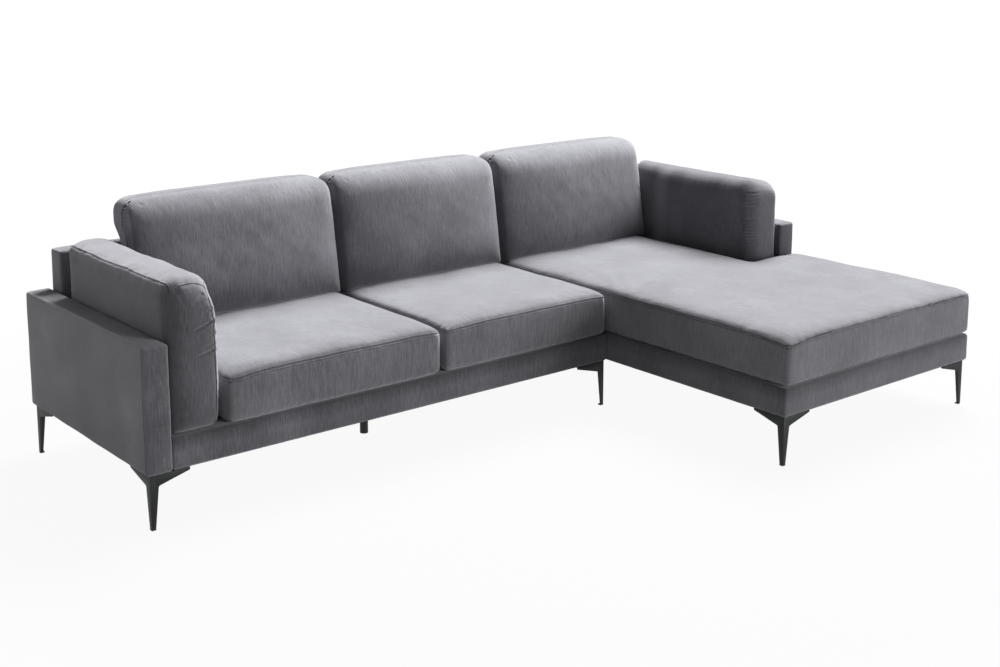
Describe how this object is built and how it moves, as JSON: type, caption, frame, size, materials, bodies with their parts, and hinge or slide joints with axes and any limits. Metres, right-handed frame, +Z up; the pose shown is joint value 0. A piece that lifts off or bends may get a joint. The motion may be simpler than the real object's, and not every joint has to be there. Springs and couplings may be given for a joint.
{
  "type": "corner sofa",
  "caption": "Corner sofa with a chaise on the right, slim upholstered arms, loose box cushions and tapered black steel legs.",
  "frame": {"origin": "on the floor, under the middle of the whole sofa's box", "axes": "+X along the back to the right arm, +Y from the chaise's front to the back, +Z up from the floor"},
  "size_m": [2.887, 1.71, 0.8666],
  "materials": {
    "chenille_cloth": "matte",
    "pine_timber": "matte",
    "hardboard": "matte",
    "elastic_webbing": "matte",
    "dust_cloth": "matte",
    "upholstery_foam": "matte",
    "black_steel": "satin",
    "zinc_steel": "satin",
    "glide_plastic": "matte"
  },
  "bodies": {
    "sofa_body": {"sofa_base_frame": "pine_timber", "sofa_seat_webbing": "elastic_webbing", "sofa_deck_pad": "upholstery_foam", "sofa_base_cover": "chenille_cloth", "sofa_dust_cover": "dust_cloth", "chaise_base_frame": "pine_timber", "chaise_seat_webbing": "elastic_webbing", "chaise_deck_pad": "upholstery_foam", "chaise_base_cover": "chenille_cloth", "chaise_dust_cover": "dust_cloth", "left_arm_frame": "pine_timber", "left_arm_boards": "hardboard", "left_arm_cover": "chenille_cloth", "right_arm_frame": "pine_timber", "right_arm_boards": "hardboard", "right_arm_cover": "chenille_cloth", "sofa_back_frame": "pine_timber", "sofa_back_boards": "hardboard", "sofa_back_cover": "chenille_cloth", "chaise_back_frame": "pine_timber", "chaise_back_boards": "hardboard", "chaise_back_cover": "chenille_cloth", "left_front_leg": "black_steel", "left_rear_leg": "black_steel", "inner_front_leg": "black_steel", "inner_rear_leg": "black_steel", "chaise_left_leg": "black_steel", "chaise_right_leg": "black_steel", "corner_rear_leg": "black_steel", "right_rear_leg": "black_steel", "middle_foot": "black_steel", "leg_glides": "glide_plastic", "leg_screws": "zinc_steel", "arm_bolts": "zinc_steel", "back_bolts": "zinc_steel", "module_link_plates": "black_steel"},
    "left_seat": {"left_seat_cushion": "chenille_cloth", "left_seat_foam": "upholstery_foam"},
    "middle_seat": {"middle_seat_cushion": "chenille_cloth", "middle_seat_foam": "upholstery_foam"},
    "chaise_seat": {"chaise_cushion": "chenille_cloth", "chaise_foam": "upholstery_foam"},
    "left_back": {"left_back_cushion": "chenille_cloth", "left_back_filling": "upholstery_foam"},
    "middle_back": {"middle_back_cushion": "chenille_cloth", "middle_back_filling": "upholstery_foam"},
    "right_back": {"right_back_cushion": "chenille_cloth", "right_back_filling": "upholstery_foam"},
    "left_arm_pad": {"left_arm_cushion": "chenille_cloth", "left_arm_foam": "upholstery_foam"},
    "right_arm_pad": {"right_arm_cushion": "chenille_cloth", "right_arm_foam": "upholstery_foam"}
  },
  "joints": [
    {"name": "left_seat_lift", "type": "slide", "parent": "sofa_body", "child": "left_seat", "axis": [0, 0, 1], "range_m": [0, 0.2]},
    {"name": "middle_seat_lift", "type": "slide", "parent": "sofa_body", "child": "middle_seat", "axis": [0, 0, 1], "range_m": [0, 0.2]},
    {"name": "chaise_seat_lift", "type": "slide", "parent": "sofa_body", "child": "chaise_seat", "axis": [0, 0, 1], "range_m": [0, 0.2]},
    {"name": "left_back_lift", "type": "slide", "parent": "left_seat", "child": "left_back", "axis": [0, 0, 1], "range_m": [0, 0.3]},
    {"name": "middle_back_lift", "type": "slide", "parent": "middle_seat", "child": "middle_back", "axis": [0, 0, 1], "range_m": [0, 0.3]},
    {"name": "right_back_lift", "type": "slide", "parent": "chaise_seat", "child": "right_back", "axis": [0, 0, 1], "range_m": [0, 0.3]},
    {"name": "left_arm_pad_lift", "type": "slide", "parent": "sofa_body", "child": "left_arm_pad", "axis": [0, 0, 1], "range_m": [0, 0.3]},
    {"name": "right_arm_pad_lift", "type": "slide", "parent": "sofa_body", "child": "right_arm_pad", "axis": [0, 0, 1], "range_m": [0, 0.3]}
  ]
}
